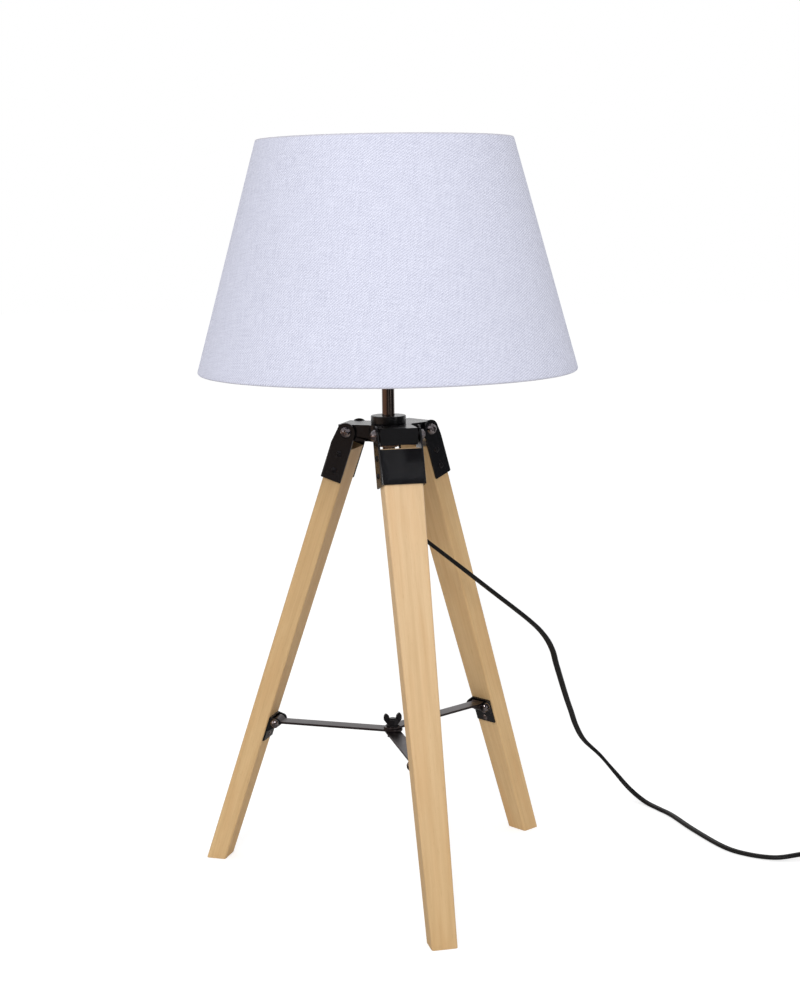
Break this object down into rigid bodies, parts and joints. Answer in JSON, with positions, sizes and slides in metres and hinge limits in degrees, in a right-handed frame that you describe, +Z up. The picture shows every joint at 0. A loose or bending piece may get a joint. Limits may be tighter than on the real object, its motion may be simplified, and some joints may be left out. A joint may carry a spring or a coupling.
{
  "type": "tripod table lamp",
  "caption": "Table lamp with a tapered fabric shade on a folding tripod of tapered wooden legs, hinged to a steel hub and tied by flat stay bars.",
  "frame": {"origin": "on the table, at the centre of the circle of the three feet, below the axis of the pole", "axes": "+Z up along the pole and the lampholder, the front leg towards -Y, +X to the right"},
  "size_m": [0.608, 0.314, 0.5945],
  "materials": {
    "wood": "pale pine, clear satin lacquer",
    "black_steel": "satin black powder coat",
    "bright_steel": "bright zinc",
    "bar_steel": "dark satin steel",
    "dark_chrome": "black chrome",
    "shade_fabric": "pale woven fabric on a stiff backing",
    "shade_wire": "white coated wire",
    "black_plastic": "moulded",
    "ceramic": "glazed ceramic",
    "brass": "plain",
    "cord_black": "satin flex sheath"
  },
  "bodies": {
    "head": {"hub": "black_steel", "hub_collar": "black_steel", "pole": "dark_chrome", "pole_nut": "bright_steel", "cord_grip": "cord_black", "cord_inside": "cord_black", "lampholder_cap": "black_plastic", "lampholder_skirt": "black_plastic", "lampholder_insulator": "ceramic", "lampholder_screw_shell": "brass", "shade_frame": "shade_wire", "shade_ring_nut": "black_plastic", "shade_top_ring": "shade_wire", "shade_cover": "shade_fabric", "hinge_bolt_front": "bright_steel", "hinge_bolt_right": "bright_steel", "hinge_bolt_left": "bright_steel", "hinge_nut_front": "bright_steel", "hinge_nut_right": "bright_steel", "hinge_nut_left": "bright_steel", "cord_run": "cord_black", "cord_lead": "cord_black", "cord_coil": "cord_black", "cord_tail": "cord_black", "coil_tie": "black_plastic", "switch_base": "black_plastic", "switch_cover": "black_plastic", "switch_contacts": "brass", "plug_body": "black_plastic", "plug_pins": "bright_steel"},
    "leg_front": {"leg_front": "wood", "leg_bracket_front": "black_steel", "bracket_screws_front": "black_steel", "stay_plate_front": "black_steel", "stay_screws_front": "bright_steel", "stay_pin_front": "bright_steel"},
    "leg_right": {"leg_right": "wood", "leg_bracket_right": "black_steel", "bracket_screws_right": "black_steel", "stay_plate_right": "black_steel", "stay_screws_right": "bright_steel", "stay_pin_right": "bright_steel"},
    "leg_left": {"leg_left": "wood", "leg_bracket_left": "black_steel", "bracket_screws_left": "black_steel", "stay_plate_left": "black_steel", "stay_screws_left": "bright_steel", "stay_pin_left": "bright_steel"},
    "bar_front": {"stay_bar_front": "bar_steel", "centre_bolt": "black_steel"},
    "bar_right": {"stay_bar_right": "bar_steel", "centre_stud": "black_steel", "stay_washer": "black_steel"},
    "bar_left": {"stay_bar_left": "bar_steel"},
    "wing_nut": {"wing_nut": "black_steel"},
    "switch_rocker": {"switch_rocker": "black_plastic"}
  },
  "joints": [
    {"name": "leg_front_fold", "type": "hinge", "parent": "head", "child": "leg_front", "pos_m": [0, -0.03, 0.367], "axis": [1, 0, 0], "range_deg": [0, 17]},
    {"name": "leg_right_fold", "type": "hinge", "parent": "head", "child": "leg_right", "pos_m": [0.02598, 0.015, 0.367], "axis": [-0.5, 0.866, 0], "range_deg": [0, 17]},
    {"name": "leg_left_fold", "type": "hinge", "parent": "head", "child": "leg_left", "pos_m": [-0.02598, 0.015, 0.367], "axis": [-0.5, -0.866, 0], "range_deg": [0, 17]},
    {"name": "bar_front_swing", "type": "hinge", "parent": "leg_front", "child": "bar_front", "pos_m": [0, -0.09941, 0.122], "axis": [1, 0, 0], "range_deg": [-103, 0]},
    {"name": "bar_right_swing", "type": "hinge", "parent": "leg_right", "child": "bar_right", "pos_m": [0.08609, 0.0497, 0.122], "axis": [-0.5, 0.866, 0], "range_deg": [0, 63]},
    {"name": "bar_left_swing", "type": "hinge", "parent": "leg_left", "child": "bar_left", "pos_m": [-0.08609, 0.0497, 0.122], "axis": [-0.5, -0.866, 0], "range_deg": [-17, 0]},
    {"name": "wing_nut_turn", "type": "hinge", "parent": "bar_right", "child": "wing_nut", "pos_m": [0, 0, 0.128], "axis": [0, 0, 1], "continuous": true},
    {"name": "rocker_press", "type": "hinge", "parent": "head", "child": "switch_rocker", "pos_m": [0.373, -0.062, 0.0095], "axis": [0, 1, 0], "range_deg": [0, 16]}
  ],
  "couplings": [
    {"joint": "leg_right_fold", "follows": "leg_front_fold", "ratio": 1},
    {"joint": "leg_left_fold", "follows": "leg_front_fold", "ratio": 1},
    {"joint": "bar_front_swing", "follows": "leg_front_fold", "ratio": -6.0588},
    {"joint": "bar_right_swing", "follows": "leg_front_fold", "ratio": 3.7059},
    {"joint": "bar_left_swing", "follows": "leg_front_fold", "ratio": -1}
  ]
}
